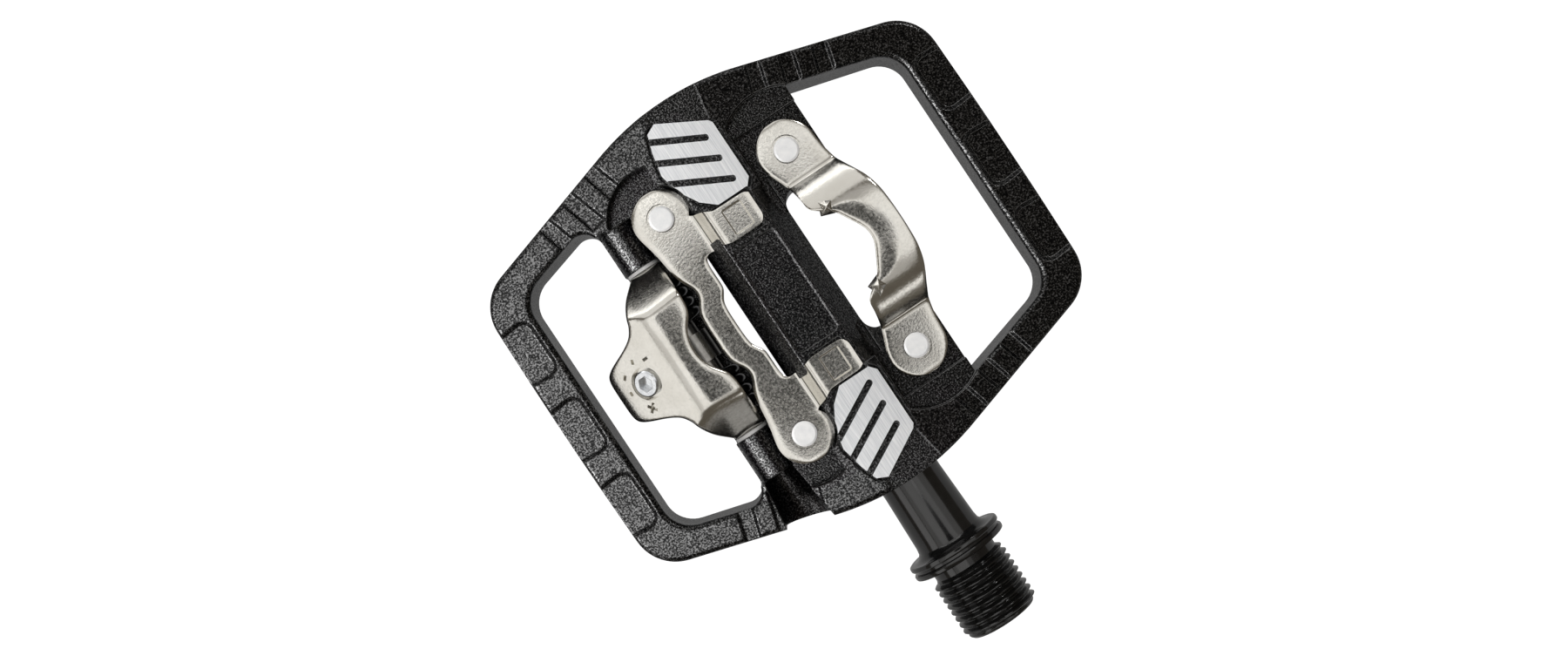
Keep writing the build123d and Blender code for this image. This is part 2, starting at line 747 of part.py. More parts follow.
def axle():
    """Forged axle: lock-nut thread, bearing seats, taper, flange and crank thread."""
    points = [(0, axle_end_y), (lock_thread_radius - 0.4, axle_end_y)]
    points += [(lock_thread_radius, axle_end_y - 0.4), (lock_thread_radius, inner_bearing_y)]
    points += [(axle_core_radius - 0.3, inner_bearing_y), (axle_core_radius, inner_bearing_y - 0.3)]
    points += [(needle_seat_radius, needle_cup_y + needle_cup_length + 3)]
    points += [(needle_seat_radius, needle_cup_y - 0.35), (seal_seat_radius, needle_cup_y - 0.6)]
    points += [(seal_seat_radius, -half_width - 1.5)]
    points += [(axle_root_radius, -half_width - axle_root_drop)]
    points += [(axle_root_radius + 0.3, flange_y + 1.1), (axle_root_radius + 0.8, flange_y + 0.4)]
    points += [(axle_root_radius + 1.6, flange_y)]
    rim = (flange_thickness - flange_groove_width) / 2
    points += [(flange_radius - 0.3, flange_y), (flange_radius, flange_y - 0.3)]
    points += [(flange_radius, flange_y - rim), (flange_radius - flange_groove_depth, flange_y - rim)]
    points += [(flange_radius - flange_groove_depth, seat_y + rim), (flange_radius, seat_y + rim)]
    points += [(flange_radius, seat_y + 0.3), (flange_radius - 0.3, seat_y)]
    points += [(neck_radius, seat_y), (neck_radius, thread_start_y + 0.5)]
    points += [(crank_thread_radius, thread_start_y)]
    points += [(crank_thread_radius, thread_end_y + crank_thread_chamfer)]
    points += [(crank_thread_radius - crank_thread_chamfer, thread_end_y), (0, thread_end_y)]
    shaft = turned(points)
    hexagon = Plane(origin=(0, thread_end_y, 0), z_dir=(0, 1, 0)) * RegularPolygon(
        crank_hex / 2, 6, False)
    return shaft - extrude(hexagon, crank_hex_depth)


def lip_seal():
    """Rubber seal at the crank-side mouth of the bore."""
    lip = seal_seat_radius + seal_lip_clearance
    high = seal_mouth_y + seal_length
    return turned([(lip, seal_mouth_y + 0.4), (lip + 0.5, seal_mouth_y), (seal_radius, seal_mouth_y),
                   (seal_radius, high), (lip + 0.5, high), (lip + 0.5, seal_mouth_y + 1.0)])


def needle_cup():
    """Drawn cup that the needles roll in."""
    high = needle_cup_y + needle_cup_length
    lip = needle_pitch_radius - 0.3
    return turned([(lip, needle_cup_y), (seal_radius, needle_cup_y), (seal_radius, high),
                   (lip, high), (lip, high - 0.5), (needle_cup_bore, high - 0.5),
                   (needle_cup_bore, needle_cup_y + 0.5), (lip, needle_cup_y + 0.5)])


def spread(shape, count):
    """Copies of a shape, evenly round the axle line."""
    return [Rot(0, 360 * step / count, 0) * shape for step in range(count)]


def needles():
    """Loose rollers of the needle bearing."""
    low = needle_cup_y + 1.1
    high = needle_cup_y + needle_cup_length - 1.1
    return spread(Pos(needle_pitch_radius, 0, 0) * sleeve(0, needle_radius, low, high),
                  needle_count)


def needle_cage():
    """Thin slotted sleeve that spaces the needles."""
    low = needle_cup_y + 0.6
    high = needle_cup_y + needle_cup_length - 0.6
    ring = sleeve(needle_pitch_radius - 0.25, needle_pitch_radius + 0.25, low, high)
    pocket = sleeve(0, needle_radius + 0.05, low + 0.45, high - 0.45)
    for hole in spread(Pos(needle_pitch_radius, 0, 0) * pocket, needle_count):
        ring -= hole
    return ring


def groove_ring(middle_y):
    """Torus that the balls of one bearing run round in, with its clearance."""
    return Pos(0, middle_y, 0) * Rot(90, 0, 0) * Torus(
        ball_pitch_radius, ball_radius + ball_clearance)


def ball_bearing(low):
    """Pieces of one shielded ball bearing, in a dictionary by kind."""
    middle = low + race_length / 2
    groove = groove_ring(middle)
    inner = sleeve(lock_thread_radius, inner_race_radius, low, low + race_length) - groove
    outer = sleeve(outer_race_bore, race_radius, low, low + race_length) - groove
    ball = Pos(ball_pitch_radius, middle, 0) * Sphere(ball_radius)
    cage = sleeve(ball_pitch_radius - 0.3, ball_pitch_radius + 0.3, middle - 1.35, middle + 1.35)
    pocket = Pos(ball_pitch_radius, middle, 0) * Rot(0, 90, 0) * Cylinder(ball_radius + 0.06, 2)
    for hole in spread(pocket, ball_count):
        cage -= hole
    shield = sleeve(inner_race_radius + shield_gap, outer_race_bore,
                    middle + 1.7, middle + 1.7 + shield_thickness)
    twin = sleeve(inner_race_radius + shield_gap, outer_race_bore,
                  middle - 1.7 - shield_thickness, middle - 1.7)
    return {"inner_race": inner, "outer_race": outer, "balls": spread(ball, ball_count),
            "cage": cage, "shields": [shield, twin]}


def lock_washer():
    """Washer between the outer ball bearing and the lock nut."""
    return sleeve(lock_thread_radius, lock_washer_radius - 1.0, cap_seat_y,
                  cap_seat_y + lock_washer_thickness)


def lock_nut():
    """Thin hexagon nut that holds both ball bearings on the axle."""
    low = cap_seat_y + lock_washer_thickness
    hexagon = Plane(origin=(0, low, 0), z_dir=(0, 1, 0)) * RegularPolygon(
        lock_nut_flats / 2, 6, False)
    return extrude(hexagon, lock_nut_height) - sleeve(0, lock_thread_radius, low - 1, low + 9)


def end_cap():
    """Screwed dust cap; its rim clamps the ball bearings' outer races."""
    end_y = half_width - cap_drop
    points = [(cap_radius - cap_wall, cap_seat_y), (cap_radius, cap_seat_y)]
    points += [(cap_radius, end_y - 1.9), (cap_radius - o_ring_radius, end_y - 1.9)]
    points += [(cap_radius - o_ring_radius, end_y - 0.9), (cap_radius, end_y - 0.9)]
    points += [(cap_radius, end_y - 0.2), (cap_radius - 0.2, end_y), (0, end_y)]
    points += [(0, end_y - cap_floor), (cap_radius - cap_wall, end_y - cap_floor)]
    hexagon = Plane(origin=(0, end_y, 0), z_dir=(0, -1, 0)) * RegularPolygon(
        cap_hex / 2, 6, False)
    return turned(points) - extrude(hexagon, cap_hex_depth)


def o_ring():
    """Rubber ring that seals the end cap."""
    end_y = half_width - cap_drop
    return sleeve(cap_radius - o_ring_radius, cap_radius, end_y - 1.85, end_y - 0.95)


def save(name, pieces):
    """Write one node."""
    shape = Compound(children=pieces) if isinstance(pieces, list) else pieces
    export_step(shape, f"parts/{name}.step")


save("platform_body", platform_body())
save("cleat_plate", cleat_plate())
save("front_hook", front_hook())
save("release_claw", release_claw())
save("cleat_plate_rivets", rivets(plate_rivet_x, plate_rivet_y))
save("front_hook_rivets", rivets(hook_rivet_x, hook_rivet_y))
save("claw_pin", pivot_pin())
save("claw_pin_washers", pin_washers())
save("spring_spacer", spring_spacer())
outboard_spring = torsion_spring()
save("outboard_spring", outboard_spring)
save("inboard_spring", mirror(outboard_spring, Plane.XZ))
save("tension_screw", tension_screw())
save("tension_screw_clip", screw_clip())
save("tension_nut_plate", nut_plate())
save("axle", axle())
save("axle_seal", lip_seal())
save("needle_bearing_cup", needle_cup())
save("needle_bearing_needles", needles())
save("needle_bearing_cage", needle_cage())
for place, low_y in (("inner", inner_bearing_y), ("outer", outer_bearing_y)):
    for kind, pieces in ball_bearing(low_y).items():
        save(f"{place}_ball_bearing_{kind}", pieces)
save("axle_lock_washer", lock_washer())
save("axle_lock_nut", lock_nut())
save("end_cap", end_cap())
save("end_cap_o_ring", o_ring())
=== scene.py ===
import math

import bmesh
import bpy
from mathutils import Matrix, Vector


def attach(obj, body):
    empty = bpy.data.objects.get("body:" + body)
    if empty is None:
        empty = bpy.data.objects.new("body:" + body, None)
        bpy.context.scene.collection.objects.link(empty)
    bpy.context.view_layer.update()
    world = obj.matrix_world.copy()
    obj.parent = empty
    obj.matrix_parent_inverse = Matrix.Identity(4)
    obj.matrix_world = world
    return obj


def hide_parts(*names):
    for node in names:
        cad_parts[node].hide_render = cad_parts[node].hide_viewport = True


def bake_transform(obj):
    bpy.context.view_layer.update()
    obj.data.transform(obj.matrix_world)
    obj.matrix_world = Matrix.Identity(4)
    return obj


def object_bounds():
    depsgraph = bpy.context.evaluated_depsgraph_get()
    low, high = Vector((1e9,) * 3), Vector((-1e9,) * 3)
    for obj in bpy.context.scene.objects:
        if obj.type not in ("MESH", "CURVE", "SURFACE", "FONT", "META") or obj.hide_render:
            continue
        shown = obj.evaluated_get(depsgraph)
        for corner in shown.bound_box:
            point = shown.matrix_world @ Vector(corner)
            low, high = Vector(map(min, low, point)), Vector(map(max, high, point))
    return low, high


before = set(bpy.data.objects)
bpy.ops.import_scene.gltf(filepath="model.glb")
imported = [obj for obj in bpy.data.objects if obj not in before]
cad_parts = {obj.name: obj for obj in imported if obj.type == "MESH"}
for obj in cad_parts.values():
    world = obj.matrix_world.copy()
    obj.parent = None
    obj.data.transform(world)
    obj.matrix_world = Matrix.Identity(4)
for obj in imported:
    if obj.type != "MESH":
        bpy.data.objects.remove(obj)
cad_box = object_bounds()
bpy.ops.object.select_all(action="DESELECT")
MM = 0.001

# --- Camera ------------------------------------------------------------------------------
# Looks straight down on the binding side from close by, turned so that the axle runs to the
# lower right.  The view is centred a little behind the axle and towards the crank.
CAMERA_CENTRE = Vector((-4.4 * MM, -6.0 * MM, 300 * MM))
CAMERA_TURN = math.radians(-33.7)
CAMERA_LENS = 39.48
bpy.ops.object.camera_add(location=CAMERA_CENTRE, rotation=(0, 0, CAMERA_TURN))
camera = bpy.context.object
camera.name = "camera"
camera.data.lens = CAMERA_LENS
camera.data.clip_start = 0.01
bpy.context.scene.camera = camera

# --- Studio ------------------------------------------------------------------------------
# A white table under a dim brown room.  The bright metal and the black casting have their own
# boxes, so the casting's rear half shines and its front half stays black.  The lens above is a
# dark disc that the level metal mirrors.
FLOOR_DROP = 0.2 * MM
FLOOR_Z = cad_box[0][2] - FLOOR_DROP
LENS_RADIUS = 54 * MM
LENS_LIFT = 16 * MM
bpy.ops.mesh.primitive_plane_add(size=6.0, location=(0, 0, FLOOR_Z))
table_top = bpy.context.object
table_top.name = "table_top"
paper = bpy.data.materials.new("white_paper")
paper.use_nodes = True
paper_shader = paper.node_tree.nodes["Principled BSDF"]
paper_shader.inputs["Base Color"].default_value = (0.3, 0.3, 0.3, 1)
paper_shader.inputs["Roughness"].default_value = 0.9
paper_shader.inputs["Specular IOR Level"].default_value = 0.0
paper_shader.inputs["Emission Color"].default_value = (1, 1, 1, 1)
seen = paper.node_tree.nodes.new("ShaderNodeLightPath")
glow = paper.node_tree.nodes.new("ShaderNodeMapRange")
glow.inputs["To Min"].default_value = 0.20
glow.inputs["To Max"].default_value = 1.0
paper.node_tree.links.new(seen.outputs["Is Camera Ray"], glow.inputs["Value"])
paper.node_tree.links.new(glow.outputs["Result"], paper_shader.inputs["Emission Strength"])
table_top.data.materials.append(paper)

bpy.ops.mesh.primitive_cylinder_add(vertices=48, radius=LENS_RADIUS, depth=20 * MM,
                                    location=CAMERA_CENTRE + Vector((0, 0, LENS_LIFT)))
lens = bpy.context.object
lens.name = "camera_lens"
lens_black = bpy.data.materials.new("lens_black")
lens_black.use_nodes = True
lens_shader = lens_black.node_tree.nodes["Principled BSDF"]
lens_shader.inputs["Base Color"].default_value = (0.02, 0.02, 0.02, 1)
lens.data.materials.append(lens_black)

sky = bpy.data.worlds.new("studio_sky")
sky.use_nodes = True
sky.node_tree.nodes["Background"].inputs["Color"].default_value = (1.0, 0.88, 0.72, 1)
sky.node_tree.nodes["Background"].inputs["Strength"].default_value = 0.12
bpy.context.scene.world = sky
bpy.context.scene.view_settings.view_transform = "Standard"


def soft_box(name, place, width, length, brightness):
    """Area lamp aimed at the pedal, in metres, with the brightness of its face."""
    aim = (Vector((0, 0, 0)) - Vector(place)).to_track_quat("-Z", "Y").to_euler()
    bpy.ops.object.light_add(type="AREA", location=place, rotation=aim)
    lamp = bpy.context.object
    lamp.name = name
    lamp.data.shape = "RECTANGLE"
    lamp.data.size = width
    lamp.data.size_y = length
    lamp.data.energy = brightness * math.pi * width * length
    return lamp


def light_only(lamp, *nodes, only=True):
    """Let a lamp light some CAD nodes alone, or everything but those nodes."""
    lit = bpy.data.collections.new(lamp.name + "_objects")
    for node in nodes:
        lit.objects.link(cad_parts[node])
    lamp.light_linking.receiver_collection = lit
    for entry in lit.collection_objects:
        entry.light_linking.link_state = "INCLUDE" if only else "EXCLUDE"


metal_box = soft_box("metal_box", (-0.05, 0.02, 0.80), 0.84, 0.84, 0.36)
light_only(metal_box, "platform_body", only=False)
claw_box = soft_box("claw_box", (-0.34, 0.0, 0.79), 0.52, 0.84, 0.64)
light_only(claw_box, "platform_body", only=False)
arch_box = soft_box("arch_box", (0.30, 0.0, 0.79), 0.34, 0.84, 0.60)
light_only(arch_box, "platform_body", only=False)
casting_box = soft_box("casting_box", (-0.39, 0.0, 0.80), 0.52, 0.80, 2.6)
light_only(casting_box, "platform_body")
key_lamp = soft_box("key_lamp", (-0.25, 0.02, 0.22), 0.14, 0.14, 9.0)
light_only(key_lamp, "platform_body", "cleat_plate_rivets", "front_hook_rivets")
soft_box("outboard_box", (-0.03, 0.64, 0.42), 0.85, 0.72, 0.75)
sill_box = soft_box("sill_box", (-0.03, 0.62, 0.06), 0.85, 0.16, 1.4)
light_only(sill_box, "platform_body", only=False)
soft_box("claw_side_box", (-0.60, 0.0, 0.30), 0.90, 0.28, 1.0)
soft_box("inboard_spot", (0.12, -0.60, 0.22), 0.22, 0.10, 1.2)
soft_box("front_spark", (0.45, 0.30, 0.45), 0.09, 0.09, 20.0)

# --- Platform body -----------------------------------------------------------------------
# Forged alloy frame, bead-blasted and black anodised.  The four grip pads were milled after
# anodising, so they show bright metal with fine cutter lines.
PAD_Z = 9.05 * MM


def new_material(name):
    """Node material with its shader, ready for a pattern."""
    material = bpy.data.materials.new(name)
    material.use_nodes = True
    return material, material.node_tree, material.node_tree.nodes["Principled BSDF"]


def add_node(tree, kind, **values):
    """One node with its plain settings and unlinked socket values."""
    node = tree.nodes.new(kind)
    for key, value in values.items():
        name = key.replace("_", " ")
        if name in node.inputs:
            node.inputs[name].default_value = value
        else:
            setattr(node, key, value)
    return node


def noise(tree, scale, detail=2.0, stretch=(1, 1, 1), turn=0.0):
    """Noise in object space, stretched along chosen axes and turned about Z."""
    place = add_node(tree, "ShaderNodeTexCoord")
    mapping = add_node(tree, "ShaderNodeMapping", Scale=stretch, Rotation=(0, 0, turn))
    grain = add_node(tree, "ShaderNodeTexNoise", Scale=scale, Detail=detail)
    tree.links.new(place.outputs["Object"], mapping.inputs["Vector"])
    tree.links.new(mapping.outputs["Vector"], grain.inputs["Vector"])
    return grain.outputs["Fac"]


def ramp(tree, source, low, high, dark, light):
    """Colour ramp between two stops, fed from a value."""
    blend = tree.nodes.new("ShaderNodeValToRGB")
    blend.color_ramp.elements[0].position = low
    blend.color_ramp.elements[1].position = high
    blend.color_ramp.elements[0].color = (*dark, 1)
    blend.color_ramp.elements[1].color = (*light, 1)
    tree.links.new(source, blend.inputs["Fac"])
    return blend.outputs["Color"]


def relief(tree, shader, source, strength, distance, soft_edge=0.0):
    """Bump on the shader's normal; a soft edge also rounds sharp corners."""
    bump = add_node(tree, "ShaderNodeBump", Strength=strength, Distance=distance)
    tree.links.new(source, bump.inputs["Height"])
    if soft_edge:
        bevel = add_node(tree, "ShaderNodeBevel", samples=6, Radius=soft_edge)
        tree.links.new(bevel.outputs["Normal"], bump.inputs["Normal"])
    tree.links.new(bump.outputs["Normal"], shader.inputs["Normal"])


def edge_mask(tree, radius):
    """Value that rises within a radius of a sharp edge."""
    rounded = add_node(tree, "ShaderNodeBevel", samples=6, Radius=radius)
    flat = tree.nodes.new("ShaderNodeNewGeometry")
    agree = add_node(tree, "ShaderNodeVectorMath", operation="DOT_PRODUCT")
    tree.links.new(rounded.outputs["Normal"], agree.inputs[0])
    tree.links.new(flat.outputs["Normal"], agree.inputs[1])
    return agree.outputs["Value"]


def anodised_black():
    """Bead-blasted black; sparse bright grains painted in as glints, and a painted edge
    highlight.
    """
    material, tree, shader = new_material("black_anodised")
    grain = noise(tree, 3400.0, 1.0)
    patches = noise(tree, 70.0, 2.0)
    # Painted glints: sparse bright grains in the base colour stand in for the casting's sparkle.
    glint_speckle = ramp(tree, grain, 0.56, 0.74, (0.001, 0.001, 0.0012), (0.05, 0.05, 0.052))
    # Painted highlight: the edges are painted a lighter grey, as if they caught the light.
    painted_edge_highlight = ramp(tree, edge_mask(tree, 0.22 * MM), 0.80, 0.97, (0.30, 0.30, 0.30), (0, 0, 0))
    place = add_node(tree, "ShaderNodeTexCoord")
    across = add_node(tree, "ShaderNodeSeparateXYZ")
    # The painted edge highlight is faint at the rear and grows to full strength towards the
    # front.
    highlight_toward_front = add_node(tree, "ShaderNodeMapRange", From_Min=-8 * MM, From_Max=26 * MM, To_Min=0.12)
    tree.links.new(place.outputs["Object"], across.inputs["Vector"])
    tree.links.new(across.outputs["X"], highlight_toward_front.inputs["Value"])
    colour = add_node(tree, "ShaderNodeMix", data_type="RGBA", blend_type="ADD")
    tree.links.new(highlight_toward_front.outputs["Result"], colour.inputs["Factor"])
    tree.links.new(glint_speckle, colour.inputs["A"])
    tree.links.new(painted_edge_highlight, colour.inputs["B"])
    tree.links.new(colour.outputs["Result"], shader.inputs["Base Color"])
    tree.links.new(ramp(tree, patches, 0.3, 0.7, (0.20, 0.20, 0.20), (0.27, 0.27, 0.27)),
                   shader.inputs["Roughness"])
    glint = add_node(tree, "ShaderNodeMapRange", From_Min=0.42, From_Max=0.62, To_Min=1.22,
                     To_Max=1.95)
    tree.links.new(grain, glint.inputs["Value"])
    tree.links.new(glint.outputs["Result"], shader.inputs["IOR"])
    relief(tree, shader, grain, 1.0, 0.035 * MM, 0.35 * MM)
    return material


def milled_alloy():
    """Bright milled alloy with fine straight cutter lines."""
    material, tree, shader = new_material("milled_alloy")
    lines = noise(tree, 5200.0, 3.0, (1.0, 0.03, 1.0), math.radians(-30))
    tree.links.new(ramp(tree, lines, 0.3, 0.7, (0.66, 0.68, 0.71), (0.95, 0.96, 0.97)),
                   shader.inputs["Base Color"])
    shader.inputs["Metallic"].default_value = 0.6
    shader.inputs["Roughness"].default_value = 0.34
    relief(tree, shader, lines, 0.35, 0.02 * MM)
    return material


def dress(node, *materials):
    """Give a CAD node its finished materials."""
    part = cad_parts[node]
    part.data.materials.clear()
    for material in materials:
        part.data.materials.append(material)
    return part


body = dress("platform_body", anodised_black(), milled_alloy())
for face in body.data.polygons:
    on_pad = abs(face.center.z) > PAD_Z and abs(face.normal.z) > 0.9
    face.material_index = 1 if on_pad else 0

# --- Front hook --------------------------------------------------------------------------
# Fixed front jaw, one strip of steel blanked and pressed into an arch, then nickel plated.
# Its mouth is coined to a scoop that guides the nose of the cleat.
SHEET = 2.0 * MM
EAR_TURNS = (81, 71, 60, 48, 36, 24, 12, 0)
EAR_ROLL = 0.22
EAR_ROLL_START = 60
EAR_ROLL_SPAN = 21
HOOK_EAR_RADIUS = 5.4
HOOK_RIVET_X = 13.5
HOOK_RIVET_Y = 20.1
RIVET_SEAT_RADIUS = 2.62
RIVET_SEAT_FLOOR = 4.7


def round_end(centre_x, centre_y, radius, top):
    """Stations round the outer end of an ear: y, left x, right x, top z."""
    rows = []
    for turn in EAR_TURNS:
        half = radius * math.cos(math.radians(turn))
        roll = EAR_ROLL * max(0.0, (turn - EAR_ROLL_START) / EAR_ROLL_SPAN) ** 2
        y = centre_y + radius * math.sin(math.radians(turn))
        rows.append((y, centre_x - half, centre_x + half, top - roll))
    return rows


HOOK_ROWS = [row + (0.5,) for row in round_end(HOOK_RIVET_X, HOOK_RIVET_Y,
                                               HOOK_EAR_RADIUS, 5.5)] + [
    # y, inner x, outer x, top z, scoop's share of the width
    (18.40, 8.4, 19.0, 5.5, 0.5), (16.80, 9.1, 19.25, 5.5, 0.5),
    (15.60, 9.6, 19.5, 5.5, 0.5), (14.80, 9.9, 19.7, 5.5, 0.5), (14.35, 10.05, 19.8, 5.66, 0.5),
    (13.80, 10.2, 20.0, 6.25, 0.5), (12.90, 10.35, 20.4, 7.15, 0.5), (11.9, 10.5, 20.8, 8.0, 0.5),
    (10.90, 10.6, 21.3, 8.72, 0.5), (9.90, 10.6, 21.75, 9.3, 0.5), (9.10, 10.8, 22.1, 9.62, 0.45),
    (8.35, 11.6, 22.35, 9.85, 0.40), (7.65, 12.6, 22.55, 10.0, 0.38),
    (7.00, 13.6, 22.7, 10.1, 0.42), (6.30, 14.35, 22.85, 10.18, 0.48),
    (5.40, 14.85, 23.0, 10.25, 0.55), (4.20, 15.5, 23.1, 10.3, 0.62),
    (2.80, 16.3, 23.15, 10.34, 0.67), (1.40, 17.0, 23.2, 10.36, 0.70),
    (0.0, 17.2, 23.2, 10.36, 0.71),
]
HOOK_COLUMNS = (0.0, 0.08, 0.2, 0.34, 0.5, 0.66, 0.82, 1.0, 1.4, 1.8, 1.93, 2.0)
SCOOP_DEPTH = 0.45
SCOOP_CURVE = 1.3
SCOOP_HALF_Y = 7.5
HOOK_LEAN = 0.065
LEAN_START = 18.6


def draw_sheet(name, rows):
    """Metal blank pulled from a flat grid, point by point, to its pressed shape."""
    bpy.ops.object.select_all(action="DESELECT")
    bpy.ops.mesh.primitive_grid_add(x_subdivisions=len(rows[0]) - 1, y_subdivisions=len(rows) - 1,
                                    size=10 * MM)
    piece = bpy.context.object
    piece.name = name
    bpy.ops.object.mode_set(mode="EDIT")
    bpy.ops.mesh.select_mode(type="VERT")
    points = [point for row in rows for point in row]
    for number, target in enumerate(points):
        bpy.ops.mesh.select_all(action="DESELECT")
        mesh = bmesh.from_edit_mesh(piece.data)
        mesh.verts.ensure_lookup_table()
        mesh.verts[number].select_set(True)
        step = Vector(target) * MM - mesh.verts[number].co
        bpy.ops.transform.translate(value=step)
    bpy.ops.mesh.select_all(action="SELECT")
    bpy.ops.mesh.normals_make_consistent(inside=False)
    bpy.ops.object.mode_set(mode="OBJECT")
    return piece


def face_up(piece):
    """Turn a sheet's faces over if most of them look down."""
    if sum(face.normal.z * face.area for face in piece.data.polygons) < 0:
        bpy.ops.object.mode_set(mode="EDIT")
        bpy.ops.mesh.select_all(action="SELECT")
        bpy.ops.mesh.flip_normals()
        bpy.ops.object.mode_set(mode="OBJECT")


def finish_modifiers(piece):
    """Apply every modifier in turn and smooth the result."""
    bpy.ops.object.select_all(action="DESELECT")
    piece.select_set(True)
    bpy.context.view_layer.objects.active = piece
    for modifier in list(piece.modifiers):
        bpy.ops.object.modifier_apply(modifier=modifier.name)
    bpy.ops.object.shade_smooth_by_angle(angle=math.radians(40))


def press(piece, thickness, edge, levels=2):
    """Give a drawn sheet its thickness, its rounded edges and its smooth skin."""
    face_up(piece)
    wall = piece.modifiers.new("wall", "SOLIDIFY")
    wall.thickness = thickness
    wall.offset = -1.0
    rim = piece.modifiers.new("rim", "BEVEL")
    rim.width = edge
    rim.segments = 2
    rim.limit_method = "ANGLE"
    rim.angle_limit = math.radians(55)
    skin = piece.modifiers.new("skin", "SUBSURF")
    skin.levels = levels
    skin.render_levels = levels
    finish_modifiers(piece)


def mirrored(rows):
    """Rows from one end to the middle, followed by the other half."""
    far = [[(x, -y, z) for x, y, z in row] for row in rows[-2::-1]]
    return rows + far


def rolled(column, last, drop=0.24):
    """How far the blanked edge is rolled down at one place across the sheet."""
    edge = min(column, last - column)
    return drop * max(0.0, 1 - edge / 0.12) ** 2


def hook_row(y, inner, outer, top, share):
    """Points across the hook at one place along it, the scoop on the inner side."""
    edge = inner + (outer - inner) * share
    depth = SCOOP_DEPTH * math.sqrt(max(0.0, 1 - (y / SCOOP_HALF_Y) ** 2))
    row = []
    for column in HOOK_COLUMNS:
        if column <= 1:
            x = inner + (edge - inner) * column
        else:
            x = edge + (outer - edge) * (column - 1)
        scoop = depth * max(0.0, 1 - column) ** SCOOP_CURVE
        lean = HOOK_LEAN * max(0.0, x - LEAN_START)
        row.append((x, y, top - scoop - lean - rolled(column, 2.0)))
    return row


def nickel_plate():
    """Polished nickel with a faint grain left by the pressing and warm reflections."""
    material, tree, shader = new_material("polished_nickel")
    grain = noise(tree, 2600.0, 3.0)
    cloud = noise(tree, 160.0, 2.0)
    tree.links.new(ramp(tree, cloud, 0.3, 0.7, (0.66, 0.64, 0.59), (0.76, 0.745, 0.70)),
                   shader.inputs["Base Color"])
    tree.links.new(ramp(tree, grain, 0.3, 0.7, (0.13, 0.13, 0.13), (0.24, 0.24, 0.24)),
                   shader.inputs["Roughness"])
    shader.inputs["Metallic"].default_value = 1.0
    relief(tree, shader, grain, 0.5, 0.024 * MM)
    return material


nickel = nickel_plate()
hook = draw_sheet("hook_skin", mirrored([hook_row(*row) for row in HOOK_ROWS]))
press(hook, SHEET, 0.35 * MM)


def cut(piece, tool, operation="DIFFERENCE"):
    """Take the tool's shape out of the piece, or weld it on, and put the tool away."""
    knife = piece.modifiers.new("cut", "BOOLEAN")
    knife.object = tool
    knife.operation = operation
    knife.solver = "EXACT"
    bpy.ops.object.select_all(action="DESELECT")
    piece.select_set(True)
    bpy.context.view_layer.objects.active = piece
    bpy.ops.object.modifier_apply(modifier=knife.name)
    bpy.data.objects.remove(tool)


def spot_face(piece, x, y, radius, floor):
    """Shallow round seat around a rivet's head, sunk into the sheet."""
    bpy.ops.mesh.primitive_cylinder_add(vertices=64, radius=radius * MM, depth=4 * MM,
                                        location=Vector((x, y, floor + 2)) * MM)
    tool = bpy.context.object
    bpy.ops.object.transform_apply()
    cut(piece, tool)


for side in (1, -1):
    spot_face(hook, HOOK_RIVET_X, side * HOOK_RIVET_Y, RIVET_SEAT_RADIUS, RIVET_SEAT_FLOOR)

# Two pointed teeth stand at the ends of the mouth and bite the cleat.
TOOTH = Vector((13.5, 7.9, 10.1)) * MM
TOOTH_RADIUS = 1.9 * MM
TOOTH_HEIGHT = 1.4 * MM
TOOTH_TIP = 0.12 * MM
TOOTH_TURN = math.radians(25)
for side in (1, -1):
    bpy.ops.mesh.primitive_cone_add(vertices=4, radius1=TOOTH_RADIUS, radius2=TOOTH_TIP,
                                    depth=TOOTH_HEIGHT, rotation=(0, 0, side * TOOTH_TURN),
                                    location=(TOOTH.x, side * TOOTH.y, TOOTH.z))
    tooth = bpy.context.object
    bpy.ops.object.transform_apply()
    blunt = tooth.modifiers.new("blunt", "BEVEL")
    blunt.width = 0.1 * MM
    blunt.segments = 2
    bpy.ops.object.modifier_apply(modifier=blunt.name)
    cut(hook, tooth, "UNION")
bpy.ops.object.shade_smooth_by_angle(angle=math.radians(30))
hook.data.materials.append(nickel)
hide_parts("front_hook")
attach(hook, "platform")

# --- Cleat plate -------------------------------------------------------------------------
# Pressed steel plate that the cleat rests on.  Two arms step up over the barrel and end in
# tabs with a shallow coined pocket.
PLATE_TOP = 5.5
PLATE_RIVET_X = -10.9
PLATE_RIVET_Y = 22.1
PLATE_EAR_RADIUS = 5.2
PLATE_ROWS = [row[:3] for row in round_end(PLATE_RIVET_X, PLATE_RIVET_Y,
                                           PLATE_EAR_RADIUS, PLATE_TOP)] + [
    # y, left x, right x
    (20.9, -15.95, -5.95), (20.0, -15.75, -6.7), (18.6, -15.4, -7.2), (17.0, -15.1, -7.3),
    (15.4, -14.9, -7.4), (13.8, -14.7, -7.5), (12.7, -14.55, -7.7), (11.9, -14.4, -8.3),
    (10.8, -14.0, -8.5), (9.3, -13.1, -8.5), (8.2, -12.85, -8.5), (7.0, -13.2, -8.5),
    (6.2, -13.8, -8.6), (5.2, -14.4, -9.3), (4.2, -14.65, -9.95), (2.2, -14.7, -10.1),
    (0.0, -14.7, -10.1),
]
PLATE_COLUMNS = (0.0, 0.08, 0.2, 0.5, 0.8, 0.92, 1.0)
